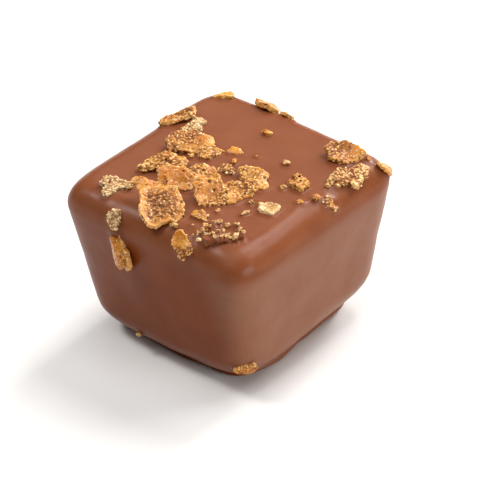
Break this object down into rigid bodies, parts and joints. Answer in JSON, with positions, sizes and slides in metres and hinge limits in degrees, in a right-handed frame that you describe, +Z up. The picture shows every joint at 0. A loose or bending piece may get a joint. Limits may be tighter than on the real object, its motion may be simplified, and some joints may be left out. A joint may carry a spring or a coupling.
{
  "type": "praline chocolate",
  "caption": "Square milk chocolate praline, wider at its rounded shoulders than at its base, with caramelised wafer flakes on top.",
  "frame": {"origin": "middle of the flat base that the praline rests on", "axes": "+Z up; the corner nearest the viewer in the picture points to +X -Y, so the walls that show face -Y and +X"},
  "size_m": [0.0246, 0.0254, 0.02],
  "materials": {
    "milk_chocolate": null,
    "wafer": null
  },
  "bodies": {
    "root": {"praline": "milk_chocolate"}
  },
  "joints": []
}
